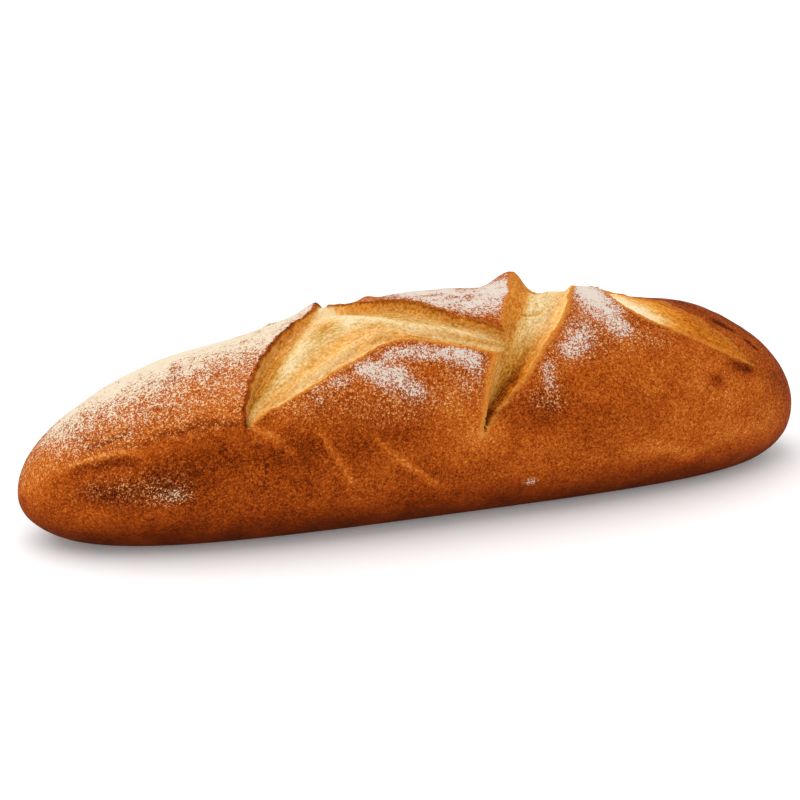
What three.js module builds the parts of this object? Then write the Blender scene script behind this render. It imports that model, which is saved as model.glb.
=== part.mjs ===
// A country bread: one long hand-shaped loaf, slashed across its crest and torn open in the oven.
// Millimetres, +Z up. X runs along the loaf and the side with the widest tear faces -Y.
import * as THREE from 'three';
import { mergeVertices } from 'three/addons/utils/BufferGeometryUtils.js';

const LOAF_LENGTH = 340;
const LOAF_WIDTH = 93.3;
const LOAF_HEIGHT = 86.5;

// How fast the loaf closes toward its ends, as [left, right] powers of the distance along it.
const WIDTH_POWER = [2.95, 2.85];
const CREST_POWER = [1.66, 2.6];
const BASE_POWER = [5.4, 7.4];
const GIRTH_POWER = 3;
const TIP_HEIGHT = [19.6, 19.8];
// Height of the widest line, as a share of the loaf's height.
const WIDEST_SHARE = 0.382;
// Roundness of a slice above and below that line: 2 is an ellipse, more is squarer.
const SLICE_POWER_TOP = 1.95;
const SLICE_POWER_BOTTOM = 2.27;
// The loaf would reach this far under the shelf; what is under it becomes the flat base.
const BASE_SINK = 7;
const BASE_ROUNDING = 4;
// Both ends lean this far to the front.
const BOW = 1.9;

// Places on the crust are [x, girth]: girth is measured from the crest down the side, front positive.
const GIRTH_RADIUS = 46;

// The mesh is a box wrapped round the loaf. These are its cells along, across the top and up a side.
const CELLS = [74, 20, 16];
// Share of the half length that the long sides of the box cover; the end caps cover the rest.
const CAP_START = 0.86;
// Moves cells from the base to the crest.
const CREST_CROWDING = 0.35;
// Corners of the box this close together are one corner.
const CORNER_SLACK = 1e-5;
// A vertex this near to the edge of a tear is moved onto the edge, except at the loaf's ends.
const SNAP_REACH = 1.9;
const SNAP_END = 0.45;
// A vertex this near to a tear's middle line stays where it is.
const SNAP_CLEAR = 0.5;
// Within this of its edge a vertex counts as on the crust.
const EDGE_SLACK = 0.02;

// The torn slashes. Each row is [x, girth, half width]. The ear is the edge on the left or far
// side of the way the rows run, the rim is the other one. The pairs are values at the first
// and the last row. Lifts raise the crust, depths lower the crumb, and a wall runs from an
// edge down to the crumb.
const TEARS = [
  {
    name: 'arch over the front panel',
    rows: [[-84.5, 49, 0.3], [-81, 43, 3.8], [-75.5, 37, 7.8], [-68.5, 31, 11], [-59.5, 24.5, 14],
      [-49, 17.3, 16.8], [-36.5, 12.5, 17.6], [-22, 13, 13.8], [-10.5, 17, 10.5], [0, 22.5, 7.9],
      [10, 27, 6.2], [20, 31, 5.3], [27, 33.5, 5.2]],
    earLift: [0.5, 1], rimLift: [0.2, 0.3], earDepth: [4.6, 4.6], rimDepth: [1.4, 3.2],
    earWall: [3.4, 2.6], rimWall: [1.8, 2],
  },
  {
    name: 'far arm of the arch',
    rows: [[-45, 0, 2.4], [-40, -10, 2.6], [-32, -26, 5.5], [-20, -43, 5], [-11, -56, 0.3]],
    earLift: [0.8, 0.6], rimLift: [0.2, 0.6], earDepth: [0.4, 3], rimDepth: [0.4, 3],
    earWall: [1.4, 1.8], rimWall: [1.4, 1.8],
  },
  {
    name: 'far left',
    rows: [[-142, -52, 0.3], [-116, -45, 6], [-84, -38, 8.5], [-58, -31, 6], [-34, -24, 3]],
    earLift: [0.5, 0.5], rimLift: [0.1, 0.3], earDepth: [3, 3.5], rimDepth: [3, 3.5],
    earWall: [1.8, 1.8], rimWall: [2.2, 2.2],
  },
  {
    name: 'cross',
    rows: [[10, 64.5, 0.4], [12.9, 58.5, 1.6], [16.3, 52.5, 3.5], [21, 46, 5.7], [26.5, 39, 7.4],
      [31.5, 32, 8.6], [37.5, 23.5, 10.4], [44, 14, 11.4], [49, 4, 11.8], [55, -7, 12],
      [66, -25, 9.5], [78, -42, 5.5], [88, -56, 0.3]],
    earLift: [0.1, 1.4], rimLift: [0.6, 0.1], earDepth: [3.5, 5.5], rimDepth: [7.5, 1],
    earWall: [2.6, 7], rimWall: [1.4, 6],
  },
  {
    name: 'right',
    rows: [[82, -16, 3.5], [86, -4, 7.5], [91.5, 6.5, 12], [99, 14, 12], [106, 19, 9.8],
      [115, 24.5, 7.7], [124, 30.5, 5.6], [132, 36, 3.2], [139, 41, 0.3]],
    earLift: [0.2, 0.1], rimLift: [0.6, 0.2], earDepth: [1.4, 0.5], rimDepth: [3.2, 1],
    earWall: [5, 3], rimWall: [2.4, 2],
  },
  {
    name: 'far arm of the right tear',
    rows: [[-3, -58, 0.3], [10, -49, 4.5], [26, -38, 6.5], [44, -26, 7], [66, -22, 6], [82, -16, 3.5]],
    earLift: [0.6, 0.3], rimLift: [0.8, 0.6], earDepth: [3, 4], rimDepth: [4, 5],
    earWall: [1.8, 2], rimWall: [1.8, 4],
  },
];
// Length over which a lifted edge falls back to the crust.
const LIP_REACH = 4.5;
// The crumb bulges between its edges by this share of the half width, up to a limit.
const CRUMB_BULGE = 0.16;
const CRUMB_BULGE_LIMIT = 2.2;
// A wall takes up at most this share of its tear's half width.
const WALL_SHARE = 0.7;
// Tears are never narrower than this.
const LEAST_HALF_WIDTH = 0.05;
// Steps from one row of a tear or fold to the next, and how tightly the line bends between them.
const LINE_STEPS = 8;
const LINE_TENSION = 0.5;

// Swells and hollows of the crust: [x, girth, lift, reach].
const SWELLS = [
  [44, -14, 7.5, 9],
  [23, 22, 1, 8],
  [-45, -8, 1, 9],
  [-74, -12, -2.6, 23],
  [-134, 2, 1.4, 20],
  [53, -10, -4.8, 9],
  [97, -8, -3.6, 16],
  [-152, 4, -1, 14],
  [-150, 62, -0.8, 22],
  [-20, 62, 0.8, 34],
  [60, 60, 0.7, 30],
  [110, 66, 0.6, 26],
  [-22, -10, 1.7, 3.5],
  [-44, -12, 1.6, 6],
  [-24, -18, -1, 9],
  [27, -15, -1.2, 8],
  [72, -12, -0.9, 6],
];
// How much of a swell the crumb in a tear beside it takes up.
const SWELL_IN_CRUMB = 0.2;
// Shallow folds of the crust: rows of [x, girth], then depth and half width.
const FOLDS = [
  { rows: [[-150, 50], [-141, 50], [-133, 51], [-126, 55]], depth: 0.7, width: 3.2 },
  { rows: [[-147, 36], [-138, 36.8], [-131, 36.5], [-125, 35]], depth: 0.7, width: 2 },
  { rows: [[-124, 46], [-117, 42.5], [-101, 43], [-84, 48]], depth: 0.7, width: 2 },
  { rows: [[126, 42.5], [132, 43.4], [138, 46.4]], depth: 0.8, width: 2.6 },
];

function between(pair, share) {
  return pair[0] + (pair[1] - pair[0]) * share;
}

function smoothStep(from, to, value) {
  const share = THREE.MathUtils.clamp((value - from) / (to - from), 0, 1);
  return share * share * (3 - 2 * share);
}

// Points of a smooth line through rows of [x, girth, half width].
function lineThrough(rows) {
  const points = rows.map((row) => new THREE.Vector3(row[0], row[1], row[2] || 0));
  const curve = new THREE.CatmullRomCurve3(points, false, 'catmullrom', LINE_TENSION);
  return curve.getPoints((rows.length - 1) * LINE_STEPS);
}

// Nearest place on a line: its distance, side, share of the length, half width and way there.
function nearestOn(line, x, girth) {
  let nearest = { distance: Infinity };
  let travelled = 0;
  for (let i = 0; i + 1 < line.length; i += 1) {
    const from = line[i];
    const to = line[i + 1];
    const alongX = to.x - from.x;
    const alongGirth = to.y - from.y;
    const length = Math.hypot(alongX, alongGirth);
    const raw = ((x - from.x) * alongX + (girth - from.y) * alongGirth) / (length * length);
    const step = THREE.MathUtils.clamp(raw, 0, 1);
    const awayX = x - from.x - alongX * step;
    const awayGirth = girth - from.y - alongGirth * step;
    const distance = Math.hypot(awayX, awayGirth);
    if (distance < nearest.distance) {
      const side = Math.sign(alongX * (girth - from.y) - alongGirth * (x - from.x));
      const halfWidth = Math.max(from.z + (to.z - from.z) * step, LEAST_HALF_WIDTH);
      nearest = { distance, side, reached: travelled + length * step, halfWidth, awayX, awayGirth };
    }
    travelled += length;
  }
  nearest.share = nearest.reached / travelled;
  return nearest;
}

const tearLines = TEARS.map((tear) => lineThrough(tear.rows));
const foldLines = FOLDS.map((fold) => lineThrough(fold.rows));

// The relief at a place: how far outside a tear it is and how much it is lifted.
function reliefAt(x, girth) {
  let edge = Infinity;
  let crumb = Infinity;
  let swellShare = 1;
  let lip = 0;
  let away = null;
  TEARS.forEach((tear, i) => {
    const near = nearestOn(tearLines[i], x, girth);
    const outside = near.distance - near.halfWidth;
    const isEar = near.side < 0;
    const lift = between(isEar ? tear.earLift : tear.rimLift, near.share);
    if (outside < edge) {
      edge = outside;
      away = near;
    }
    if (outside < 0) {
      const across = near.side * near.distance / near.halfWidth;
      const earDepth = between(tear.earDepth, near.share);
      const rimDepth = between(tear.rimDepth, near.share);
      const bulge = Math.min(CRUMB_BULGE_LIMIT, near.halfWidth * CRUMB_BULGE) * (1 - across * across);
      const wallWidth = between(isEar ? tear.earWall : tear.rimWall, near.share);
      const wall = smoothStep(0, Math.min(wallWidth, near.halfWidth * WALL_SHARE), -outside);
      const depth = between([earDepth, rimDepth], 0.5 + 0.5 * across) - bulge;
      const floor = lift * (1 - wall) - depth * wall;
      if (floor < crumb) {
        crumb = floor;
        swellShare = between([1, SWELL_IN_CRUMB], wall);
      }
    } else {
      lip = Math.max(lip, lift * Math.exp(-outside / LIP_REACH));
    }
  });
  let swell = 0;
  for (const [swellX, swellGirth, lift, reach] of SWELLS) {
    const spread = ((x - swellX) ** 2 + (girth - swellGirth) ** 2) / (reach * reach);
    swell += lift * Math.exp(-spread);
  }
  let fold = 0;
  FOLDS.forEach((one, i) => {
    const near = nearestOn(foldLines[i], x, girth);
    fold += one.depth * Math.exp(-((near.distance / one.width) ** 2));
  });
  const inCrumb = crumb + (swell > 0 ? swell * swellShare : swell);
  return { edge, away, lift: edge < -EDGE_SLACK ? inCrumb : lip + swell - fold };
}

// A point of the loaf: x, the angle round the slice from the crest, and the relief's lift.
function loafPoint(x, angle, lift) {
  const along = THREE.MathUtils.clamp(x / (LOAF_LENGTH / 2), -1, 1);
  const end = along < 0 ? 0 : 1;
  const closing = (power) => Math.sqrt(Math.max(1 - Math.abs(along) ** power, 0));
  const tip = TIP_HEIGHT[end];
  const halfWidth = (LOAF_WIDTH / 2) * closing(WIDTH_POWER[end]);
  const crest = tip + (LOAF_HEIGHT - tip) * closing(CREST_POWER[end]);
  const base = tip - (tip + BASE_SINK) * closing(BASE_POWER[end]);
  const widest = tip + (WIDEST_SHARE * LOAF_HEIGHT - tip) * closing(GIRTH_POWER);
  const up = Math.cos(angle);
  const side = Math.sin(angle);
  const power = up > 0 ? SLICE_POWER_TOP : SLICE_POWER_BOTTOM;
  const radius = (Math.abs(up) ** power + Math.abs(side) ** power) ** (-1 / power);
  const rise = up > 0 ? crest - widest : widest - base;
  const y = -halfWidth * side * radius - lift * side - BOW * along * along;
  let z = widest + rise * up * radius + lift * up;
  if (z < BASE_ROUNDING) {
    z = z < -BASE_ROUNDING ? 0 : (z + BASE_ROUNDING) ** 2 / (4 * BASE_ROUNDING);
  }
  return new THREE.Vector3(x, y, z);
}

// Wraps a point of the two-by-two-by-two box round the loaf.
function boxToLoaf(point) {
  const reach = Math.max(Math.abs(point.y), Math.abs(point.z));
  const power = WIDTH_POWER[point.x < 0 ? 0 : 1];
  let along = point.x * CAP_START;
  if (Math.abs(point.x) > 1 - CORNER_SLACK) {
    const slice = reach * Math.sqrt(1 - CAP_START ** power);
    along = Math.sign(point.x) * (1 - slice * slice) ** (1 / power);
  }
  // The turn round the slice in eighths: 0 at the crest, 2 at the front, 4 at the base.
  let turn = 0;
  if (reach > CORNER_SLACK) {
    if (Math.abs(point.z) >= Math.abs(point.y)) {
      turn = point.z > 0 ? -point.y / reach : 4 + point.y / reach;
    } else {
      turn = point.y < 0 ? 2 - point.z / reach : -2 + point.z / reach;
    }
  }
  if (turn > 4) {
    turn -= 8;
  }
  const angle = turn * Math.PI / 4;
  return { x: along * LOAF_LENGTH / 2, angle: angle - CREST_CROWDING * Math.sin(angle) };
}

function makeLoaf() {
  const box = new THREE.BoxGeometry(2, 2, 2, CELLS[0], CELLS[1], CELLS[2]);
  box.deleteAttribute('normal');
  box.deleteAttribute('uv');
  const geometry = mergeVertices(box, CORNER_SLACK);
  const position = geometry.attributes.position;
  const corner = new THREE.Vector3();
  const lifts = [];
  for (let i = 0; i < position.count; i += 1) {
    corner.fromBufferAttribute(position, i);
    const place = boxToLoaf(corner);
    let girth = place.angle * GIRTH_RADIUS;
    let relief = reliefAt(place.x, girth);
    const away = relief.away;
    const isNear = Math.abs(relief.edge) < SNAP_REACH && away.distance > SNAP_CLEAR;
    if (isNear && Math.abs(place.x) < LOAF_LENGTH * SNAP_END) {
      place.x -= away.awayX / away.distance * relief.edge;
      girth -= away.awayGirth / away.distance * relief.edge;
      relief = reliefAt(place.x, girth);
    }
    const point = loafPoint(place.x, girth / GIRTH_RADIUS, relief.lift);
    position.setXYZ(i, point.x, point.y, point.z);
    lifts.push(relief.lift);
  }
  // Each cell is cut along the diagonal that follows the edge of a tear best.
  const index = geometry.index;
  for (let i = 0; i < index.count; i += 6) {
    const [a, b, d] = [index.getX(i), index.getX(i + 1), index.getX(i + 2)];
    const c = index.getX(i + 4);
    if (Math.abs(lifts[a] - lifts[c]) < Math.abs(lifts[b] - lifts[d])) {
      [a, b, c, a, c, d].forEach((vertex, k) => index.setX(i + k, vertex));
    }
  }
  // The front swells a little more than the back, so the loaf is centred between them.
  geometry.computeBoundingBox();
  const { min, max } = geometry.boundingBox;
  geometry.translate(0, -(min.y + max.y) / 2, 0);
  geometry.computeVertexNormals();
  return geometry;
}

const crustMaterial = new THREE.MeshStandardMaterial({
  name: 'browned crust',
  color: 0x9a4d1c,
  roughness: 0.72,
});

const loaf = new THREE.Mesh(makeLoaf(), crustMaterial);
loaf.name = 'loaf';

const group = new THREE.Group();
group.name = 'country_bread';
group.add(loaf);

export default group;
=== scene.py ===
# Country bread: the baked look of one long loaf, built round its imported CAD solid.
# Metres in Blender. The loaf's own form is worked out in millimetres and scaled once, at the end.
import math

import bmesh
import bpy
import numpy as np
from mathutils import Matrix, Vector, noise


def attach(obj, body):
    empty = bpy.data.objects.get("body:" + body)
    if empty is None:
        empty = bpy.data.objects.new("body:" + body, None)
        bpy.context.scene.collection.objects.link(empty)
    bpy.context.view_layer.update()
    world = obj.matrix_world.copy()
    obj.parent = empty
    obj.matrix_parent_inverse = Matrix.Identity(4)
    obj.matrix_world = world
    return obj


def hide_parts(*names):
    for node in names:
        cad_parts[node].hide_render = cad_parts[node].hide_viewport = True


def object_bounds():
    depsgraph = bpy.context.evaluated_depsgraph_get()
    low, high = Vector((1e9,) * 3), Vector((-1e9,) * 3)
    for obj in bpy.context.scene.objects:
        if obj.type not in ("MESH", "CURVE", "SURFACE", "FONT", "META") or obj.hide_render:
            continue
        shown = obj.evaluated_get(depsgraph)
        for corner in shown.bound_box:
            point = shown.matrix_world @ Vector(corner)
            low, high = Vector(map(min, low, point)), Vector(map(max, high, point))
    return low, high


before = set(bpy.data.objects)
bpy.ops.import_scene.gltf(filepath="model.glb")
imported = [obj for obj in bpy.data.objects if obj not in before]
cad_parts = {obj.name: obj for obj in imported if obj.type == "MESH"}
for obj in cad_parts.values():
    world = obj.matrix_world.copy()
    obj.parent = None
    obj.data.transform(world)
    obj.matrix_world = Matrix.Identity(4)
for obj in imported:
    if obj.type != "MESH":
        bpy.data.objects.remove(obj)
cadLow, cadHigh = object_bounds()
print("frame loaded")

# The loaf's form has the same named sizes as the CAD part, in millimetres.
loafForm = {
    "length": 340.0,
    "width": 93.3,
    "height": 86.5,
    "widthPower": (2.95, 2.85),  # (left, right) ends: how fast the loaf closes toward its tips
    "crestPower": (1.66, 2.6),
    "basePower": (5.4, 7.4),
    "girthPower": 3.0,
    "tipHeight": (19.6, 19.8),
    "widestShare": 0.382,  # height of the widest line, as a share of the height
    "slicePowerTop": 1.95,  # 2 is an ellipse, more is squarer
    "slicePowerBottom": 2.27,
    "baseSink": 7.0,  # what would reach under the shelf becomes the flat base
    "baseRounding": 4.0,
    "bow": 1.9,  # both ends lean this far to the front
    "girthRadius": 46.0,  # places on the crust are (x, girth), girth measured from the crest
}

loafMesh = {
    "cells": (330, 52, 84),  # along, across the top, up a side
    "capStart": 0.86,  # share of the half length that the long sides of the box cover
    "crestCrowding": 0.5,  # moves cells from the base to the crest
    "snapReach": 0.5,  # a vertex this near to the edge of a tear is moved onto the edge
    "snapEnd": 0.45,  # but not past this share of the length, at the loaf's ends
}
tiny = 1e-6  # keeps lengths and comparisons away from 0
farAway = 1e9

# The torn slashes: rows are (x, girth, half width). The ear is the edge on the left or far side of
# the way the rows run, the rim is the other one. Pairs of lifts, depths, walls and glows are values
# at the first and last row. Bands run from the ear, -1, to the rim, 1, with the tone and warmth of
# the crumb: (across, (tone, tone), (warmth, warmth)). In the bands and in lipBurn the second value
# of a pair takes over between the two shares of the tear's length that are given as its turn.
# The darker tones beside an ear, and in the deep crevice of the cross tear, are painted shade.
tearForm = {
    "arch": {
        "rows": [(-84.5, 49, 0.3), (-81, 43, 3.8), (-75.5, 37, 7.8), (-68.5, 31, 11),
                 (-59.5, 24.5, 14), (-49, 17.3, 16.8), (-36.5, 12.5, 17.6), (-22, 13, 13.8),
                 (-10.5, 17, 10.5), (0, 22.5, 7.9), (10, 27, 6.2), (20, 31, 5.3), (27, 33.5, 5.2)],
        "earLift": (0.5, 1.0), "rimLift": (0.2, 0.3), "earDepth": (4.6, 4.6), "rimDepth": (1.4, 3.2),
        "earWall": (3.4, 2.6), "rimWall": (1.8, 2.0), "turn": (0.45, 0.75),
        "lipBurn": (0.9, 0.5), "earGlow": (0.6, 0.9), "rimGlow": (0.9, 1.2), "soft": 0.0,
        # The olive tones from -0.88 to -0.35 are painted shade under the ear.
        "bands": [(-1.0, (0.34, 0.18), (1.0, 1.0)), (-0.88, (0.53, 0.42), (0.6, 0.7)),
                  (-0.6, (0.42, 0.54), (0.45, 0.35)), (-0.35, (0.42, 0.56), (0.3, 0.15)),
                  (-0.1, (0.56, 0.44), (0.1, 0.2)), (0.1, (0.62, 0.42), (0.1, 0.2)),
                  (0.3, (0.62, 0.54), (0.6, 0.2)), (0.5, (0.68, 0.64), (0.8, 0.1)),
                  (0.7, (0.58, 0.48), (0.6, 0.6)), (0.88, (0.76, 0.66), (0.4, 0.6)),
                  (1.0, (0.54, 0.5), (1.0, 0.9))],
    },
    "archFar": {
        "rows": [(-45, 0, 2.4), (-40, -10, 2.6), (-32, -26, 5.5), (-20, -43, 5), (-11, -56, 0.3)],
        "earLift": (0.8, 0.6), "rimLift": (0.2, 0.6), "earDepth": (0.4, 3), "rimDepth": (0.4, 3),
        "earWall": (1.4, 1.8), "rimWall": (1.4, 1.8), "turn": (0.1, 0.9),
        "lipBurn": (0.9, 0.5), "earGlow": (0.6, 1.5), "rimGlow": (0.8, 1.5), "soft": 0.3,
        "bands": [(-1.0, (0.3, 0.2), (1.0, 1.0)), (0.0, (0.62, 0.5), (0.3, 0.6)),
                  (1.0, (0.5, 0.2), (0.8, 1.0))],
    },
    "farLeft": {
        "rows": [(-142, -52, 0.3), (-116, -45, 6), (-84, -38, 8.5), (-58, -31, 6), (-34, -24, 3)],
        "earLift": (0.5, 0.5), "rimLift": (0.1, 0.3), "earDepth": (3, 3.5), "rimDepth": (3, 3.5),
        "earWall": (1.8, 1.8), "rimWall": (2.2, 2.2), "turn": (0.1, 0.9),
        "lipBurn": (0.5, 0.5), "earGlow": (1.5, 1.5), "rimGlow": (1.5, 1.5), "soft": 0.3,
        "bands": [(-1.0, (0.2, 0.3), (1.0, 1.0)), (0.0, (0.5, 0.75), (0.6, 0.3)),
                  (1.0, (0.2, 0.4), (1.0, 1.0))],
    },
    "cross": {
        "rows": [(10, 64.5, 0.4), (12.9, 58.5, 1.6), (16.3, 52.5, 3.5), (21, 46, 5.7), (26.5, 39, 7.4),
                 (31.5, 32, 8.6), (37.5, 23.5, 10.4), (44, 14, 11.4), (49, 4, 11.8), (55, -7, 12),
                 (66, -25, 9.5), (78, -42, 5.5), (88, -56, 0.3)],
        "earLift": (0.1, 1.4), "rimLift": (0.6, 0.1), "earDepth": (3.5, 5.5), "rimDepth": (7.5, 1.0),
        "earWall": (2.6, 7.0), "rimWall": (1.4, 6.0), "turn": (0.12, 0.42),
        "lipBurn": (0.0, 0.2), "earGlow": (3.2, 1.0), "rimGlow": (1.4, 4.0), "soft": 0.0,
        # Its low first tones from -0.25 to 0.65 are painted shade in the crevice at its lower end.
        "bands": [(-1.0, (0.42, 0.52), (0.9, 1.0)), (-0.75, (0.46, 0.5), (0.6, 1.0)),
                  (-0.5, (0.4, 0.42), (0.4, 0.6)), (-0.25, (0.3, 0.66), (0.2, 0.05)),
                  (0.1, (0.22, 0.76), (0.2, 0.0)), (0.4, (0.14, 0.7), (0.4, 0.05)),
                  (0.65, (0.12, 0.7), (0.7, 0.4)), (0.85, (0.34, 0.78), (1.0, 0.8)),
                  (1.0, (0.56, 0.82), (1.0, 0.9))],
    },
    "right": {
        "rows": [(82, -16, 3.5), (86, -4, 7.5), (91.5, 6.5, 12), (99, 14, 12), (106, 19, 9.8),
                 (115, 24.5, 7.7), (124, 30.5, 5.6), (132, 36, 3.2), (139, 41, 0.3)],
        "earLift": (0.2, 0.1), "rimLift": (0.6, 0.2), "earDepth": (1.4, 0.5), "rimDepth": (3.2, 1),
        "earWall": (5.0, 3.0), "rimWall": (2.4, 2.0), "turn": (0.36, 0.66),
        "lipBurn": (0.1, 0.3), "earGlow": (0.8, 0.8), "rimGlow": (2.4, 1.4), "soft": 1.0,
        "bands": [(-1.0, (0.24, 0.22), (1.0, 1.6)), (-0.5, (0.42, 0.3), (1.2, 1.6)),
                  (0.0, (0.58, 0.32), (1.0, 1.6)), (0.35, (0.7, 0.34), (0.6, 1.6)),
                  (0.62, (0.96, 0.36), (0.1, 1.6)), (0.85, (1.04, 0.36), (0.1, 1.6)),
                  (1.0, (0.8, 0.3), (0.8, 1.6))],
    },
    "rightFar": {
        "rows": [(-3, -58, 0.3), (10, -49, 4.5), (26, -38, 6.5), (44, -26, 7), (66, -22, 6),
                 (82, -16, 3.5)],
        "earLift": (0.6, 0.3), "rimLift": (0.8, 0.6), "earDepth": (3, 4), "rimDepth": (4, 5),
        "earWall": (1.8, 2.0), "rimWall": (1.8, 4.0), "turn": (0.1, 0.9),
        "lipBurn": (0.5, 0.1), "earGlow": (1.5, 1.5), "rimGlow": (1.5, 1.5), "soft": 0.2,
        "bands": [(-1.0, (0.2, 0.45), (1.0, 0.8)), (0.0, (0.55, 0.85), (0.6, 0.1)),
                  (1.0, (0.2, 0.5), (1.0, 0.8))],
    },
}
tearSpread = {
    "lineSteps": 8,  # from one row to the next
    "margin": 36.0,  # how far from a tear's line it is still looked at
    "noTear": 60.0,  # the distance that a place with no tear near it is given
    "leastHalfWidth": 0.05,
    "edgeSlack": 0.02,  # within this of its edge a place counts as on the crust
    "lipReach": 4.5,  # length over which a lifted edge falls back to the crust
    "bulge": 0.16,  # the crumb bulges by this share of the half width
    "bulgeLimit": 2.2,
    "wallShare": 0.7,  # a wall takes up at most this share of the half width
    "raggedFrom": 3.0,  # narrower than this half width, a tear has less ragged edges
    "waver": 0.7,  # how much a lip rises and falls
    "waverReach": 2.0,
    "glowFade": (0.3, 1.0),  # shares of its reach between which the glow beside an edge fades
    "rimSoftness": 0.7,
}

swells = [  # (x, girth, lift, reach): swells and hollows of the crust
    (44, -14, 6.2, 9), (23, 22, 1.0, 8), (-45, -8, 1.0, 9), (-74, -12, -2.6, 23), (-134, 2, 1.4, 20),
    (53, -10, -4.8, 9), (97, -8, -3.6, 16), (-152, 4, -1.0, 14), (-150, 62, -0.8, 22),
    (-20, 62, 0.8, 34), (60, 60, 0.7, 30), (110, 66, 0.6, 26), (-22, -10, 1.7, 3.5),
    (-44, -12, 1.6, 6), (-24, -18, -1.0, 9), (27, -15, -1.2, 8), (72, -12, -0.9, 6),
    (-63, -12, 0.9, 3.2),
]
swellInCrumb = 0.2  # share of a swell that the crumb in a tear beside it takes up

# Strokes over the crust or the crumb: folds, veins and ridges. Each lifts the surface and turns it lighter,
# or darker where the tone is below 0. The darker tone of a stroke that sinks into a crease is painted
# shade.
strokes = [
    {"rows": [(-156, 43.5), (-148, 44), (-141, 45), (-134, 45.5), (-127, 49), (-122, 52)],
     "width": 1.7, "lift": 0.7, "tone": 0.22},
    {"rows": [(-150, 50), (-141, 50), (-133, 51), (-126, 55)],
     "width": 3.2, "lift": -0.7, "tone": -0.2},
    {"rows": [(-147, 36), (-138, 36.8), (-131, 36.5), (-125, 35)],
     "width": 1.5, "lift": -0.5, "tone": -0.2},
    {"rows": [(-124, 46), (-117, 42.5), (-110, 43.5), (-101, 43), (-91, 45.5), (-84, 48)],
     "width": 1.8, "lift": -0.5, "tone": -0.18},
    {"rows": [(-84, 49), (-75, 55), (-66, 65)], "width": 1.6, "lift": 0.25, "tone": 0.2},
    {"rows": [(-58, 54), (-52, 65), (-46, 75), (-46, 82)], "width": 1.5, "lift": 0.25, "tone": 0.18},
    {"rows": [(-38, 59), (-28, 68), (-17, 77), (-6, 89)], "width": 1.7, "lift": 0.25, "tone": 0.2},
    {"rows": [(69, 77), (87, 79), (104, 88), (110, 87), (129, 75)],
     "width": 4.0, "lift": 0.2, "tone": 0.1},
    {"rows": [(125, 42.5), (132, 43.4), (139, 46.8)], "width": 3.0, "lift": -0.8, "tone": -0.14},
    {"rows": [(-70, 32), (-66, 27.5), (-60, 20.5), (-54, 12.5), (-48, 4.5), (-43, -3), (-41, -9)],
     "width": 3.6, "lift": 0.8, "tone": 0.3},
    {"rows": [(-41, -5), (-35, 3), (-28, 9.3), (-21, 13.9), (-16, 17), (-8, 19.9), (0, 22.1),
              (19.5, 28.3)], "width": 2.2, "lift": 0.9, "tone": 0.28},
    {"rows": [(-66, 39), (-60, 35), (-52, 31), (-43, 26.6), (-36, 23), (-28, 20.5)],
     "width": 1.8, "lift": 0.6, "tone": 0.18},
    {"rows": [(-42, -6), (-39, 0), (-36, 7), (-32.5, 13)], "width": 5.0, "lift": 0.0, "tone": 0.34},
    {"rows": [(-81, 40), (-76, 34), (-70, 27), (-64, 21)], "width": 4.0, "lift": 0.0, "tone": -0.12},
    {"rows": [(36, 16.5), (42, 17.5), (48, 15)], "width": 1.1, "lift": -0.7, "tone": -0.2},
    {"rows": [(99, 5), (106, 11)], "width": 1.3, "lift": -0.4, "tone": -0.25},
    {"rows": [(124, 15), (131, 17), (137, 19.5)], "width": 2.0, "lift": -0.5, "tone": -0.3},
    {"rows": [(139, 22), (146, 28)], "width": 1.8, "lift": -0.5, "tone": -0.28},
    {"rows": [(21.5, 33), (18, 46), (14, 56)], "width": 2.0, "lift": 0.5, "tone": 0.12},
    {"rows": [(11.5, 61.5), (16, 58), (20.5, 54), (25, 49.5), (29, 45)],
     "width": 1.2, "lift": -1.2, "tone": -0.3},
]
strokeSpread = {
    "margin": 12.0,  # how far from a stroke's line it is still looked at
    "endStrength": 0.2,
    "endFading": 5.0,  # how fast a stroke gains strength from its ends
}

crustRelief = {  # size of the lumps and how high they stand, in millimetres
    "lumps": (26.0, 0.5),
    "pimples": (6.0, 0.2),
    "raggedEdge": (4.5, 0.8),
    "edgeCrumbs": (1.6, 0.4),
    "strands": (3.4, 0.5),  # across the tear
    "strandLength": 5.0,  # how many times longer than wide
    "strandTear": 9.0,  # half width of the tear that the strands are sized for
    "crumbLumps": (5.0, 0.45),
    "crumbDepth": (0.3, 2.5),  # distances from the edge between which the crumb grows rough
    "baseHeight": (2.0, 14.0),  # heights between which the relief fades toward the base
}


def between(pair, share):
    return pair[0] + (pair[1] - pair[0]) * share


def smoothStep(low, high, value):
    share = np.clip((value - low) / (high - low), 0, 1)
    return share * share * (3 - 2 * share)


noiseShift = (17.3, 5.1, 9.7)  # how far the noise of one seed lies from that of the next


def noiseAt(points, size, seed):  # one value from -1 to 1 for each point
    shift = Vector([seed * step for step in noiseShift])
    return np.array([noise.noise(Vector(point) / size + shift) for point in points])


def lineThrough(rows):  # a smooth line through rows of (x, girth, half width)
    points = np.array([tuple(row) + (0,) * (3 - len(row)) for row in rows], float)
    ends = np.vstack([2 * points[0] - points[1], points, 2 * points[-1] - points[-2]])
    steps = tearSpread["lineSteps"]
    line = []
    for i in range(1, len(ends) - 2):
        before, start, end, after = ends[i - 1:i + 3]
        for step in range(steps):
            t = step / steps
            bend = (2 * before - 5 * start + 4 * end - after) * t * t
            twist = (3 * start - before - 3 * end + after) * t ** 3
            line.append(0.5 * (2 * start + (end - before) * t + bend + twist))
    line.append(points[-1])
    return np.array(line)


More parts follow.
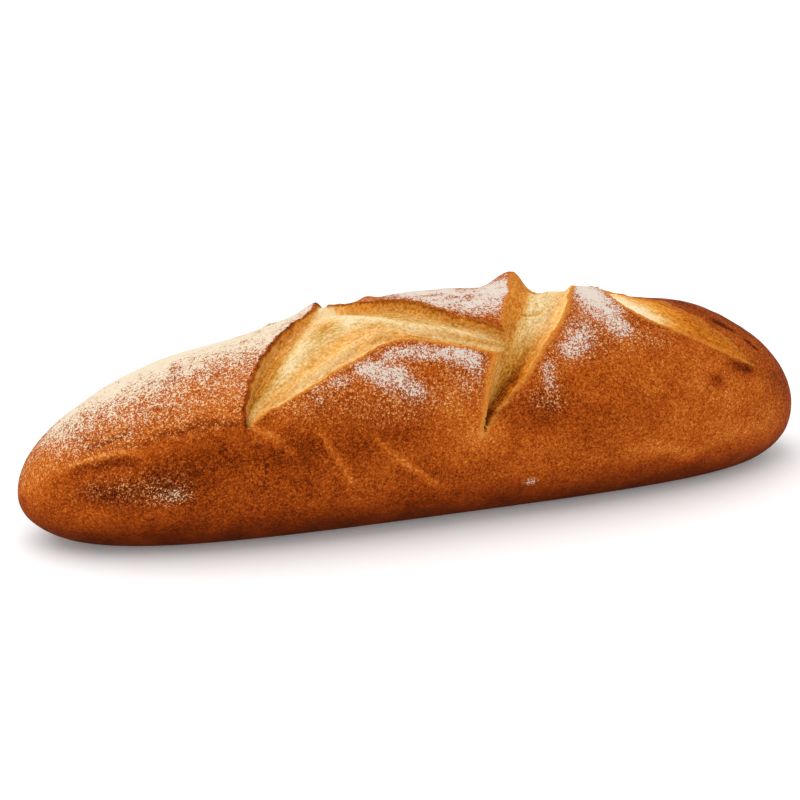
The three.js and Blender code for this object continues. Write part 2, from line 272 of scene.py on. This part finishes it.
def nearestOn(line, x, girth):  # distance, side, share of the length, half width and the way there
    names = ("side", "share", "halfWidth", "awayX", "awayGirth")
    best = {"distance": np.full(x.shape, farAway), **{name: np.zeros(x.shape) for name in names}}
    lengths = np.hypot(*np.diff(line[:, :2], axis=0).T)
    reached = np.concatenate([[0], np.cumsum(lengths)]) / lengths.sum()
    for i in range(len(line) - 1):
        fromX, fromGirth, fromWidth = line[i]
        alongX, alongGirth, widening = line[i + 1] - line[i]
        step = ((x - fromX) * alongX + (girth - fromGirth) * alongGirth) / lengths[i] ** 2
        step = np.clip(step, 0, 1)
        awayX = x - fromX - alongX * step
        awayGirth = girth - fromGirth - alongGirth * step
        distance = np.hypot(awayX, awayGirth)
        nearer = distance < best["distance"]
        found = {
            "distance": distance,
            "side": np.sign(alongX * (girth - fromGirth) - alongGirth * (x - fromX)),
            "share": between(reached[i:i + 2], step),
            "halfWidth": np.maximum(fromWidth + widening * step, tearSpread["leastHalfWidth"]),
            "awayX": awayX, "awayGirth": awayGirth,
        }
        for name, value in found.items():
            best[name] = np.where(nearer, value, best[name])
    return best


def closeTo(line, x, girth, reach):  # which places lie within the line's own box and a margin
    low, high = line[:, :2].min(0) - reach, line[:, :2].max(0) + reach
    return (x > low[0]) & (x < high[0]) & (girth > low[1]) & (girth < high[1])


tearLines = {name: lineThrough(tear["rows"]) for name, tear in tearForm.items()}
strokeLines = [lineThrough(stroke["rows"]) for stroke in strokes]


def tearSection(tear, near, halfWidth):  # the floor of one tear across its width, and its colours
    spread = tearSpread
    share = near["share"]
    outside = near["distance"] - halfWidth
    isEar = near["side"] < 0
    earOrRim = lambda what: np.where(isEar, *[between(tear[edge + what], share) for edge in ("ear", "rim")])
    across = np.clip(near["side"] * near["distance"] / halfWidth, -1, 1)
    depths = between(tear["earDepth"], share), between(tear["rimDepth"], share)
    depth = between(depths, 0.5 + 0.5 * across)
    bulge = np.minimum(spread["bulgeLimit"], halfWidth * spread["bulge"]) * (1 - across ** 2)
    wall = smoothStep(0, np.minimum(earOrRim("Wall"), halfWidth * spread["wallShare"]), -outside)
    lift = earOrRim("Lift")
    turned = smoothStep(*tear["turn"], share)
    places = [band[0] for band in tear["bands"]]
    alongBand = lambda which, end: np.interp(across, places, [band[which][end] for band in tear["bands"]])
    colour = lambda which: between([alongBand(which, 0), alongBand(which, 1)], turned)
    return {
        "outside": outside,
        "floor": np.where(outside < 0, (bulge - depth) * wall + lift * (1 - wall), farAway),
        "kept": 1 - wall,
        "lip": np.where(outside < 0, 0, lift * np.exp(-np.maximum(outside, 0) / spread["lipReach"])),
        "across": across,
        "tone": colour(1),
        "warmth": colour(2),
        "glow": 1 - smoothStep(*spread["glowFade"], outside / earOrRim("Glow")),
        "lipBurn": np.where(isEar, between(tear["lipBurn"], turned), 0),
        "soft": np.where(isEar, tear["soft"], tear["soft"] * turned * spread["rimSoftness"]),
    }


def reliefAt(x, girth, ragged):  # how far outside a tear each place is, and how much it is lifted
    spread = tearSpread
    count = len(x)
    edge = np.full(count, spread["noTear"])
    crumb = np.full(count, farAway)
    kept = np.zeros(count)
    lip = np.zeros(count)
    names = ("across", "along", "tone", "warmth", "glow", "lipBurn", "soft", "awayX", "awayGirth")
    facts = {name: np.zeros(count) for name in names}
    for name, tear in tearForm.items():
        line = tearLines[name]
        close = closeTo(line, x, girth, spread["margin"])
        near = nearestOn(line, x[close], girth[close])
        raggedHere = ragged[close] * np.minimum(1, near["halfWidth"] / spread["raggedFrom"])
        halfWidth = np.maximum(near["halfWidth"] + raggedHere, spread["leastHalfWidth"])
        section = tearSection(tear, near, halfWidth)
        kept[close] = np.where(section["floor"] < crumb[close], section["kept"], kept[close])
        crumb[close] = np.minimum(crumb[close], section["floor"])
        lip[close] = np.maximum(lip[close], section["lip"])
        nearest = section["outside"] < edge[close]
        distance = np.maximum(near["distance"], tiny)
        section["along"] = near["share"] * np.hypot(*np.diff(line[:, :2], axis=0).T).sum()
        section["awayX"] = near["awayX"] / distance
        section["awayGirth"] = near["awayGirth"] / distance
        for fact in names:
            facts[fact][close] = np.where(nearest, section[fact], facts[fact][close])
        edge[close] = np.minimum(edge[close], section["outside"])
    swell = np.zeros(count)
    for swellX, swellGirth, lift, reach in swells:
        swell += lift * np.exp(-((x - swellX) ** 2 + (girth - swellGirth) ** 2) / reach ** 2)
    stroked = np.zeros(count)
    facts["stroke"] = np.zeros(count)
    for stroke, line in zip(strokes, strokeLines):
        close = closeTo(line, x, girth, strokeSpread["margin"])
        near = nearestOn(line, x[close], girth[close])
        fromEnd = np.minimum(near["share"], 1 - near["share"])
        fading = np.minimum(1, fromEnd * strokeSpread["endFading"] + strokeSpread["endStrength"])
        strength = np.exp(-((near["distance"] / stroke["width"]) ** 2)) * fading
        stroked[close] += stroke["lift"] * strength
        # a stroke's tone: lighter veins and ridges, and painted shade where it sinks into a crease
        facts["stroke"][close] += stroke["tone"] * strength
    inside = edge < -spread["edgeSlack"]
    swellShare = swellInCrumb + (1 - swellInCrumb) * kept
    swellHere = np.where(inside & (swell > 0), swell * swellShare, swell)
    waver = ragged * spread["waver"] * np.exp(-(edge / spread["waverReach"]) ** 2)
    facts["inside"] = inside
    facts["edge"] = edge
    facts["lift"] = np.where(inside, crumb, lip) + swellHere + stroked + waver
    return facts


def loafPoint(x, angle, lift):  # points of the loaf from x, the angle round the slice and the lift
    form = loafForm
    along = np.clip(x / (form["length"] / 2), -1, 1)
    end = lambda pair: np.where(along < 0, pair[0], pair[1])
    closing = lambda power: np.sqrt(np.clip(1 - np.abs(along) ** power, 0, 1))
    tip = end(form["tipHeight"])
    halfWidth = form["width"] / 2 * closing(end(form["widthPower"]))
    crest = tip + (form["height"] - tip) * closing(end(form["crestPower"]))
    base = tip - (tip + form["baseSink"]) * closing(end(form["basePower"]))
    widest = tip + (form["widestShare"] * form["height"] - tip) * closing(form["girthPower"])
    up, side = np.cos(angle), np.sin(angle)
    power = np.where(up > 0, form["slicePowerTop"], form["slicePowerBottom"])
    radius = (np.abs(up) ** power + np.abs(side) ** power) ** (-1 / power)
    rise = np.where(up > 0, crest - widest, widest - base)
    y = -halfWidth * side * radius - lift * side - form["bow"] * along ** 2
    z = widest + rise * up * radius + lift * up
    soft = form["baseRounding"]
    z = np.where(z > soft, z, np.where(z < -soft, 0, (z + soft) ** 2 / (4 * soft)))
    return np.stack([x, y, z], 1)


def boxToLoaf(box):  # wraps a two-by-two-by-two box round the loaf
    x, y, z = box.T
    reach = np.maximum(np.abs(y), np.abs(z))
    power = np.where(x < 0, *loafForm["widthPower"])
    start = loafMesh["capStart"]
    capWidth = reach * np.sqrt(1 - start ** power)
    cap = np.sign(x) * (1 - capWidth ** 2) ** (1 / power)
    along = np.where(np.abs(x) > 1 - tiny, cap, x * start)
    # The turn round the slice in eighths: 0 at the crest, 2 at the front, 4 at the base.
    safe = np.maximum(reach, tiny)
    onFlat = np.where(z > 0, -y / safe, 4 + y / safe)
    onSide = np.where(y < 0, 2 - z / safe, -2 + z / safe)
    turn = np.where(np.abs(z) >= np.abs(y), onFlat, onSide)
    angle = np.where(turn > 4, turn - 8, turn) * math.pi / 4
    return along * loafForm["length"] / 2, angle - loafMesh["crestCrowding"] * np.sin(angle)


# Patches of flour, of browning with painted shade, and of burning are strongest in their middles and fade
# over their reach.
flourPatches = [  # (x, girth, how thick, reach along, reach round)
    (-66, -20, 1.35, 34, 20), (-104, -16, 1.2, 34, 20), (-136, -8, 0.95, 24, 20),
    (-92, 12, 0.46, 50, 20), (-142, 22, 0.24, 20, 18), (-64, 8, 0.36, 12, 12),
    (-106, 34, 0.16, 46, 10), (-62, 30, 0.12, 10, 14), (-63, -11, -0.8, 4.5, 2.5),
    # The patches from x -46 to 10 round girth 31 to 46 are thinned a little as painted shade on the front
    # panel.
    (-46, 38, 0.34, 6, 3), (-35, 35, 0.54, 6, 3.5), (-30, 39, 0.46, 6, 5), (-23, 41, 0.66, 5.5, 5),
    (-20, 31, 0.6, 8, 3), (-17, 46, 0.44, 4, 4), (-9, 33.5, 0.64, 8, 3.5), (3, 35.5, 0.7, 7, 4.5),
    (10, 38.5, 0.6, 4, 4.5), (6, 46, 0.22, 8, 5), (-20, 49, 0.14, 30, 6), (-56, 42, 0.2, 14, 5),
    (-10, 56, 0.05, 40, 8), (-4, -6, 0.8, 10, 9), (6, -2, 0.96, 12, 12), (22, 0, 1.0, 12, 14),
    (34, 0, 0.86, 7, 16), (2, 1, -0.5, 7, 1.6), (9, 6, -0.4, 4, 1.5), (19, -4, -0.6, 6, 1.7),
    (31, -1, -0.6, 5, 1.6), (2, 9, 0.44, 10, 6), (20, 15, 0.56, 10, 6),
    (70, 3, 1.5, 9, 12), (74, 17, 0.66, 7, 7), (57, 33, 0.66, 6, 7), (50, 38, 0.45, 6, 4),
    (40, 46, 0.6, 3.5, 5.5), (76, 29, 0.66, 5, 4.5), (66, 26, 0.24, 16, 12), (90, 34, 0.15, 12, 6),
    (38, 55, 0.12, 10, 5), (-115, 75, 0.34, 7, 4), (-130, 68, 0.1, 24, 12), (31, 90, 0.9, 2.4, 1.6),
]
bakingAndShadePatches = [  # browning, and painted shade on the lower flanks: (x, girth, how much darker, reach along, reach round)
    (-132, 71, 0.24, 24, 9), (-105, 58, 0.16, 24, 12), (-64, 62, 0.07, 20, 12),
    (-25, 58, 0.08, 30, 12), (-96, 82, 0.14, 34, 14), (-40, 84, 0.08, 30, 12), (-5, 76, 0.1, 24, 14),
    (139, 87, -0.14, 20, 16), (-164, 40, -0.12, 10, 30), (3, 62, -0.24, 20, 12),
    (120, 58, -0.1, 26, 18), (-150, 40, -0.06, 18, 22), (-100, 30, -0.12, 30, 14),
    (-150, 52, 0.1, 12, 8), (-63, -11, 0.14, 3, 3), (122, -2, 0.24, 34, 16), (160, 30, 0.18, 14, 40),
    (36, 56, 0.18, 12, 7), (133, 45, 0.22, 7, 4), (117.5, 52.5, 0.3, 3.5, 3.5),
    (-20, 62, 0.1, 120, 6), (58, 76, 0.08, 14, 7),
]
burntPatches = [  # (x, girth, how black, reach along, reach round)
    (-42.5, -11, 0.9, 3, 3), (-37.5, -8.5, 0.9, 2.2, 2.2), (-22, -8, 0.3, 6, 6),
    (102, 9, 0.4, 3.5, 3.5), (130, 17, 0.4, 5, 5), (142, 25, 0.35, 5, 5), (114, -1, 0.2, 18, 18),
    (134, 12, 0.2, 14, 14), (138, 45, 0.3, 3, 3), (11.5, 60.8, 0.8, 2.2, 2.2),
    (15.5, 58, 0.6, 1.8, 1.8),
]


def patchField(x, girth, patches):
    field = np.zeros(len(x))
    for patchX, patchGirth, strength, alongReach, roundReach in patches:
        spread = ((x - patchX) / alongReach) ** 2 + ((girth - patchGirth) / roundReach) ** 2
        field += strength * np.exp(-spread)
    return field


def makeBox():  # a cube cut into cells along each axis
    mesh = bmesh.new()
    bmesh.ops.create_cube(mesh, size=2.0)
    for axis, count in enumerate(loafMesh["cells"]):
        along = [e for e in mesh.edges if abs((e.verts[0].co - e.verts[1].co)[axis]) > tiny]
        bmesh.ops.subdivide_edges(mesh, edges=along, cuts=count - 1, use_grid_fill=True)
    return mesh


def crustBumps(points, facts):  # the unevenness of crust and crumb, in millimetres
    relief = crustRelief
    lumpSize, lumpHeight = relief["lumps"]
    pimpleSize, pimpleHeight = relief["pimples"]
    bumps = noiseAt(points, lumpSize, 3) * lumpHeight + noiseAt(points, pimpleSize, 4) * pimpleHeight
    strandSize, strandHeight = relief["strands"]
    place = facts["across"] * relief["strandTear"] / strandSize
    run = facts["along"] / (strandSize * relief["strandLength"])
    strands = noiseAt(np.stack([place, run, np.zeros(len(run))], 1), 1.0, 5) * strandHeight
    crumbSize, crumbHeight = relief["crumbLumps"]
    crumb = strands + noiseAt(points, crumbSize, 6) * crumbHeight
    crumb = crumb * smoothStep(*relief["crumbDepth"], -facts["edge"])
    return np.where(facts["inside"], crumb, bumps) * smoothStep(*relief["baseHeight"], points[:, 2])


def makeLoaf():
    shape = makeBox()
    mesh = bpy.data.meshes.new("loafCrust")
    shape.to_mesh(mesh)
    shape.free()
    box = np.empty(len(mesh.vertices) * 3)
    mesh.vertices.foreach_get("co", box)
    x, angle = boxToLoaf(box.reshape(-1, 3))
    print("loaf wrapped:", len(x), "vertices,", 2 * len(mesh.polygons), "triangles")

    radius = loafForm["girthRadius"]
    girth = angle * radius
    flat = np.stack([x, girth, np.zeros(len(x))], 1)
    size, reach = crustRelief["raggedEdge"]
    fineSize, fineReach = crustRelief["edgeCrumbs"]
    ragged = noiseAt(flat, size, 1) * reach + noiseAt(flat, fineSize, 2) * fineReach
    facts = reliefAt(x, girth, ragged)
    snap = np.abs(facts["edge"]) < loafMesh["snapReach"]
    snap &= np.abs(x) < loafMesh["snapEnd"] * loafForm["length"]
    x = np.where(snap, x - facts["awayX"] * facts["edge"], x)
    girth = np.where(snap, girth - facts["awayGirth"] * facts["edge"], girth)
    facts = reliefAt(x, girth, ragged)
    print("tears opened")

    angle = girth / radius
    points = loafPoint(x, angle, np.zeros(len(x)))
    lift = facts["lift"] + crustBumps(points, facts)
    points = loafPoint(x, angle, lift) / 1000  # in metres from here on
    low, high = points.min(0), points.max(0)
    cadSize = np.array(cadHigh - cadLow)
    points = np.array(cadLow) + (points - low) * cadSize / (high - low)  # exactly the CAD's box
    mesh.vertices.foreach_set("co", points.ravel())

    for name, patches in {"flour": flourPatches, "baking": bakingAndShadePatches, "burnt": burntPatches}.items():
        facts[name] = patchField(x, girth, patches)
    for name in crustFacts:
        attribute = mesh.attributes.new(name, "FLOAT", "POINT")
        attribute.data.foreach_set("value", facts[name].astype(np.float32))
    for face in mesh.polygons:
        face.use_smooth = True
    mesh.update()
    loaf = bpy.data.objects.new("country_loaf", mesh)
    bpy.context.scene.collection.objects.link(loaf)
    return loaf


# What each point of the loaf tells its finish; edge and along are in millimetres.
crustFacts = ("edge", "across", "along", "tone", "warmth", "stroke", "glow", "lipBurn", "soft",
              "flour", "baking", "burnt")


def paint(code, alpha=1.0):  # a colour as the screen shows it, such as "c08040", to linear light
    parts = [int(code[i:i + 2], 16) / 255 for i in (0, 2, 4)]
    linear = [p / 12.92 if p <= 0.04045 else ((p + 0.055) / 1.055) ** 2.4 for p in parts]
    return (*linear, alpha)


class Wire:  # a socket of a material that Python's operators work on
    def __init__(self, finish, socket):
        self.finish = finish
        self.socket = socket

    def math(self, operation, first, second):
        return self.finish.node("ShaderNodeMath", {"operation": operation}, {0: first, 1: second})

    def __add__(self, other):
        return self.math("ADD", self, other)

    def __radd__(self, other):
        return self.math("ADD", other, self)

    def __sub__(self, other):
        return self.math("SUBTRACT", self, other)

    def __rsub__(self, other):
        return self.math("SUBTRACT", other, self)

    def __mul__(self, other):
        return self.math("MULTIPLY", self, other)

    def __rmul__(self, other):
        return self.math("MULTIPLY", other, self)

    def step(self, low, high):  # 0 below low, 1 above high, smooth between
        settings = {"interpolation_type": "SMOOTHSTEP"}
        inputs = {"Value": self, "From Min": low, "From Max": high}
        return self.finish.node("ShaderNodeMapRange", settings, inputs)

    def swing(self, strength):  # noise from 0 to 1, made to swing about 0
        return (self - 0.5) * strength


class Finish:  # a material and its nodes
    def __init__(self, name):
        self.material = bpy.data.materials.new(name)
        self.material.use_nodes = True
        self.tree = self.material.node_tree
        self.shader = self.tree.nodes["Principled BSDF"]

    def node(self, kind, settings=None, inputs=None, output=0):
        made = self.tree.nodes.new(kind)
        for name, value in (settings or {}).items():
            if name == "stops":
                ramp = made.color_ramp
                while len(ramp.elements) < len(value):
                    ramp.elements.new(1.0)
                for element, (place, colour) in zip(ramp.elements, value):
                    element.position = place
                    element.color = colour
            else:
                setattr(made, name, value)
        for name, value in (inputs or {}).items():
            self.plug(made.inputs[name], value)
        return Wire(self, made.outputs[output])

    def plug(self, socket, value):
        if isinstance(value, Wire):
            self.tree.links.new(value.socket, socket)
        else:
            socket.default_value = value

    def attribute(self, name):
        return self.node("ShaderNodeAttribute", {"attribute_name": name}, output="Fac")

    def grain(self, size, detail, roughness=0.5, place=None):  # noise from 0 to 1, size in metres
        inputs = {"Vector": place or self.place, "Scale": 1 / size, "Detail": detail,
                  "Roughness": roughness}
        return self.node("ShaderNodeTexNoise", {}, inputs, "Fac")

    def sand(self, size):  # separate grains, each with its own number from 0 to 1
        inputs = {"Vector": self.place, "Scale": 1 / size}
        colour = self.node("ShaderNodeTexVoronoi", {}, inputs, "Color")
        return self.node("ShaderNodeSeparateColor", {}, {0: colour}, "Red")

    def mix(self, share, low, high):  # colours
        inputs = {0: share, 6: low, 7: high}
        return self.node("ShaderNodeMix", {"data_type": "RGBA"}, inputs, 2)

    def ramp(self, value, stops):
        stops = [(place, paint(code)) for place, code in stops]
        return self.node("ShaderNodeValToRGB", {"stops": stops}, {0: value}, "Color")


grainLook = {  # the noises that crust, flour and crumb share: size in metres, detail and roughness
    "mottle": (0.013, 3.0, 0.5),
    "drift": (0.012, 2.0, 0.5),
    "blotch": (0.0042, 3.0, 0.5),
    "clump": (0.0042, 3.0, 0.6),
    "ragged": (0.0016, 2.0, 0.5),
    "pores": (0.0011, 3.0, 0.65),
    "speckle": (0.0011, 2.0, 0.6),
    "fineSpeckle": (0.0005, 1.0, 0.5),
}
strandLook = {  # how many across the half width of a tear, how many per millimetre, and detail
    "strands": (6.0, 0.09, 3.0),
    "fineStrands": (16.0, 0.3, 2.0),
}
crustLook = {
    "colours": [(0.0, "3a1000"), (0.2, "682500"), (0.4, "983f09"), (0.55, "b45614"), (0.7, "ca6e22"),
                (0.85, "de9248"), (1.0, "f0bd84")],
    "middle": 0.5,  # where plain crust lies in those colours
    "mottle": 0.3,  # how much each noise turns the crust lighter and darker
    "blotch": 0.14,
    "speckle": 0.55,
    "fineSpeckle": 0.75,
    "sand": 0.2,
    "sandSize": 0.0008,
    "baseHeight": (0.003, 0.026),  # painted shade: the crust darkens between these heights, toward the base
    "basePaintedShade": 0.37,
    "baseSmoothing": 0.7,  # share of the speckles that is lost in the painted shade at the base
    "lipReach": (0.4, 2.2),  # a burnt lip fades between these distances from its edge
    "lipWaver": 2.5,
    "lipDarkening": 0.26,
    "glowColour": "dd8c38",
    "glow": 0.75,
    "glowSpeckle": 1.2,
    "roughness": 0.75,
    "specular": 0.04,
}
flourLook = {
    "left": "eadcc2",  # cream on the left shoulder; the greyer flour on the others is painted shade
    "right": "e0d5c8",
    "leftToRight": (-0.07, -0.03),  # places along the loaf between which the painted shade turns it greyer
    "clump": 1.8,  # how uneven each noise makes it
    "drift": 1.1,
    "halfCovered": 0.56,  # the thickness at which grains cover half the crust
    "closing": 1.7,  # how fast thicker flour closes up
    "breaking": 4.8,  # how much the speckles break it
    "grainEdge": (-0.45, 0.7),
    "firstGrains": (0.02, 0.12),
    "cover": 0.92,
    "thinColour": "e1ad71",
    "thinUnder": (0.1, 0.55),  # thinner flour than this takes the thin colour
    "veilColour": "dc9452",
    "veilUnder": (0.05, 1.2),
    "veil": 0.35,
    "roughness": 0.2,  # what it adds to the crust's
}
crumbLook = {
    "pale": [(0.0, "6b3206"), (0.2, "a2661a"), (0.4, "c08a36"), (0.6, "d9b26e"), (0.8, "ecd3a4"),
             (1.0, "f7e4c0")],
    "warm": [(0.0, "6a2803"), (0.2, "a9510d"), (0.4, "cb741a"), (0.6, "e39639"), (0.8, "f2b760"),
             (1.0, "f8d698")],
    "strands": 0.5,  # how much each noise turns the crumb lighter and darker
    "fineStrands": 0.55,
    "pores": 0.9,
    "strandWarmth": 1.6,
    "lipColour": "7c3208",
    "lipReach": (0.1, 1.2),
    "lipWaver": 2.0,
    "lipCover": 0.9,
}
borderLook = {  # where crumb turns to crust, in millimetres from the edge
    "width": (-0.25, 0.15),
    "softWidth": (5.0, 3.0),  # how much further it reaches where the edge is soft
    "ragged": 0.9,
    "softRagged": 7.0,  # and how much more where the edge is soft
}
burntLook = {"colour": "1c0b04", "speckle": 1.4, "range": (0.4, 0.8), "cover": 0.9}
bumpLook = {  # heights on the crust and in the crumb, as shares of the distance, in metres
    "speckle": 0.8, "blotch": 0.8, "pores": 1.2, "strands": 1.6, "strength": 0.8, "distance": 0.00025,
}


def crustColour(finish, fact, grain, lip):  # baked crust with painted shade darkening it at the base, and darker on burnt lips
    look = crustLook
    height = finish.node("ShaderNodeSeparateXYZ", inputs={0: finish.place}, output="Z")
    # painted shade: low is 1 at the base, where the crust is darkened
    low = 1 - height.step(*look["baseHeight"])
    # the baking patches darken the crust with browning and with painted shade on the lower flanks
    bake = look["middle"] - fact["baking"] + fact["stroke"] - low * look["basePaintedShade"]
    bake = bake + grain["mottle"].swing(look["mottle"]) + grain["blotch"].swing(look["blotch"])
    speckles = grain["speckle"].swing(look["speckle"])
    speckles = speckles + grain["fineSpeckle"].swing(look["fineSpeckle"])
    speckles = speckles + finish.sand(look["sandSize"]).swing(look["sand"])
    bake = bake + speckles * (1 - low * look["baseSmoothing"]) - lip * look["lipDarkening"]
    glow = fact["glow"] * (look["glow"] + grain["speckle"].swing(look["glowSpeckle"]))
    glow = glow * (1 - fact["lipBurn"])
    return finish.mix(glow, finish.ramp(bake, look["colours"]), paint(look["glowColour"]))


def flourGrains(fact, grain, lip):  # how thick the flour is, and where its grains lie
    look = flourLook
    uneven = 1 + grain["clump"].swing(look["clump"]) + grain["drift"].swing(look["drift"])
    amount = fact["flour"] * uneven * (1 - fact["glow"]) * (1 - lip)
    dust = (amount - look["halfCovered"]) * look["closing"]
    dust = dust + (grain["speckle"] + grain["fineSpeckle"] - 1) * look["breaking"]
    return amount, dust.step(*look["grainEdge"]) * amount.step(*look["firstGrains"])


def flouredColour(finish, crust, amount, grains):  # a veil of flour on the crust, and the grains, turned greyer toward the right as painted shade
    look = flourLook
    along = finish.node("ShaderNodeSeparateXYZ", inputs={0: finish.place}, output="X")
    flour = finish.mix(along.step(*look["leftToRight"]), paint(look["left"]), paint(look["right"]))
    flour = finish.mix(amount.step(*look["thinUnder"]), paint(look["thinColour"]), flour)
    veil = amount.step(*look["veilUnder"]) * look["veil"]
    crust = finish.mix(veil, crust, paint(look["veilColour"]))
    return finish.mix(grains * look["cover"], crust, flour)


def strandGrain(finish, fact, acrossCount, alongCount, detail):  # noise drawn out along the tear
    inputs = {0: fact["across"] * acrossCount, 1: fact["along"] * alongCount}
    place = finish.node("ShaderNodeCombineXYZ", inputs=inputs)
    return finish.grain(1.0, detail, place=place)


def crumbColour(finish, fact, grain):  # pale to orange crumb with painted shade where its tones are darker under an ear, and the browned inside of a lip
    look = crumbLook
    tone = fact["tone"] + fact["stroke"] + grain["strands"].swing(look["strands"])
    tone = tone + grain["fineStrands"].swing(look["fineStrands"]) + grain["pores"].swing(look["pores"])
    warmth = fact["warmth"] + grain["strands"].swing(look["strandWarmth"])
    crumb = finish.mix(warmth, finish.ramp(tone, look["pale"]), finish.ramp(tone, look["warm"]))
    lip = 1 - (grain["blotch"].swing(look["lipWaver"]) - fact["edge"]).step(*look["lipReach"])
    return finish.mix(lip * fact["lipBurn"] * look["lipCover"], crumb, paint(look["lipColour"]))


def loafFinish():
    finish = Finish("loaf crust and crumb")
    finish.place = finish.node("ShaderNodeTexCoord", output="Object")
    fact = {name: finish.attribute(name) for name in crustFacts}
    grain = {name: finish.grain(*spread) for name, spread in grainLook.items()}
    for name, spread in strandLook.items():
        grain[name] = strandGrain(finish, fact, *spread)
    lip = 1 - (fact["edge"] + grain["blotch"].swing(crustLook["lipWaver"])).step(*crustLook["lipReach"])
    lip = lip * fact["lipBurn"]
    amount, grains = flourGrains(fact, grain, lip)
    crust = flouredColour(finish, crustColour(finish, fact, grain, lip), amount, grains)
    crumb = crumbColour(finish, fact, grain)

    look = borderLook
    border = fact["edge"] + grain["ragged"].swing(look["ragged"])
    border = border + grain["pores"].swing(look["softRagged"]) * fact["soft"]
    start = look["width"][0] - fact["soft"] * look["softWidth"][0]
    end = look["width"][1] + fact["soft"] * look["softWidth"][1]
    isCrust = border.step(start, end)
    look = burntLook
    scorched = (fact["burnt"] + grain["speckle"].swing(look["speckle"])).step(*look["range"])
    colour = finish.mix(isCrust, crumb, crust)
    colour = finish.mix(scorched * look["cover"], colour, paint(look["colour"]))

    look = bumpLook
    crustHeight = grain["speckle"] * look["speckle"] + grain["blotch"] * look["blotch"]
    crumbHeight = grain["pores"] * look["pores"] + grain["strands"] * look["strands"]
    inputs = {0: isCrust, 2: crumbHeight, 3: crustHeight}
    height = finish.node("ShaderNodeMix", {"data_type": "FLOAT"}, inputs)
    inputs = {"Strength": look["strength"], "Distance": look["distance"], "Height": height}
    bump = finish.node("ShaderNodeBump", {}, inputs, "Normal")

    roughness = crustLook["roughness"] + grains * flourLook["roughness"]
    finish.plug(finish.shader.inputs["Base Color"], colour)
    finish.plug(finish.shader.inputs["Roughness"], roughness)
    finish.plug(finish.shader.inputs["Specular IOR Level"], crustLook["specular"])
    finish.plug(finish.shader.inputs["Normal"], bump)
    return finish.material


studio = {
    "floorColour": (0.92, 0.92, 0.92, 1.0),
    "floorRoughness": 0.9,
    "floorGlow": 0.13,
    "floorSize": 4.0,
    "floorDrop": 0.0001,  # keeps the floor just under the base
    "glowColour": (1.0, 1.0, 1.0, 1.0),
    "skyColour": (1.0, 1.0, 1.0, 1.0),
    "skyStrength": 0.75,
    "keyPlace": (-0.9, 0.1, 2.6),
    "keySize": 3.0,
    "keyPower": 46.0,
}
cameraView = {  # found from the photo's outline, which is 800 by 800
    "azimuth": -17.76,
    "elevation": 21.0,
    "distance": 0.7839,
    "target": (-0.0107, 0.0, 0.04204),
    "angleAcross": 24.0,
}


def makeStudio():
    floorMesh = bpy.data.meshes.new("floor")
    shape = bmesh.new()
    bmesh.ops.create_grid(shape, size=studio["floorSize"])
    bmesh.ops.translate(shape, verts=shape.verts, vec=(0, 0, -studio["floorDrop"]))
    shape.to_mesh(floorMesh)
    shape.free()
    floor = bpy.data.objects.new("floor", floorMesh)
    bpy.context.scene.collection.objects.link(floor)
    finish = Finish("plain floor")
    finish.plug(finish.shader.inputs["Base Color"], studio["floorColour"])
    finish.plug(finish.shader.inputs["Roughness"], studio["floorRoughness"])
    finish.plug(finish.shader.inputs["Emission Color"], studio["glowColour"])
    finish.plug(finish.shader.inputs["Emission Strength"], studio["floorGlow"])
    floorMesh.materials.append(finish.material)

    world = bpy.data.worlds.new("sky")
    world.use_nodes = True
    background = world.node_tree.nodes["Background"]
    background.inputs["Color"].default_value = studio["skyColour"]
    background.inputs["Strength"].default_value = studio["skyStrength"]
    bpy.context.scene.world = world

    key = bpy.data.lights.new("key", "AREA")
    key.size = studio["keySize"]
    key.energy = studio["keyPower"]
    lamp = bpy.data.objects.new("key", key)
    lamp.location = studio["keyPlace"]
    lamp.rotation_mode = "QUATERNION"
    lamp.rotation_quaternion = (-Vector(studio["keyPlace"])).to_track_quat("-Z", "Y")
    bpy.context.scene.collection.objects.link(lamp)


def makeCamera():
    azimuth, elevation = math.radians(cameraView["azimuth"]), math.radians(cameraView["elevation"])
    flatBack = math.cos(elevation)
    back = Vector((math.sin(azimuth) * flatBack, -math.cos(azimuth) * flatBack, math.sin(elevation)))
    lens = bpy.data.cameras.new("camera")
    lens.angle = math.radians(cameraView["angleAcross"])
    camera = bpy.data.objects.new("camera", lens)
    camera.location = Vector(cameraView["target"]) + back * cameraView["distance"]
    camera.rotation_mode = "QUATERNION"
    camera.rotation_quaternion = (-back).to_track_quat("-Z", "Y")
    bpy.context.scene.collection.objects.link(camera)
    bpy.context.scene.camera = camera


makeCamera()
makeStudio()
bpy.context.scene.view_settings.view_transform = "Standard"
print("studio set")

loaf = makeLoaf()
loaf.data.materials.append(loafFinish())
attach(loaf, "root")
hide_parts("loaf")
print("loaf finished")
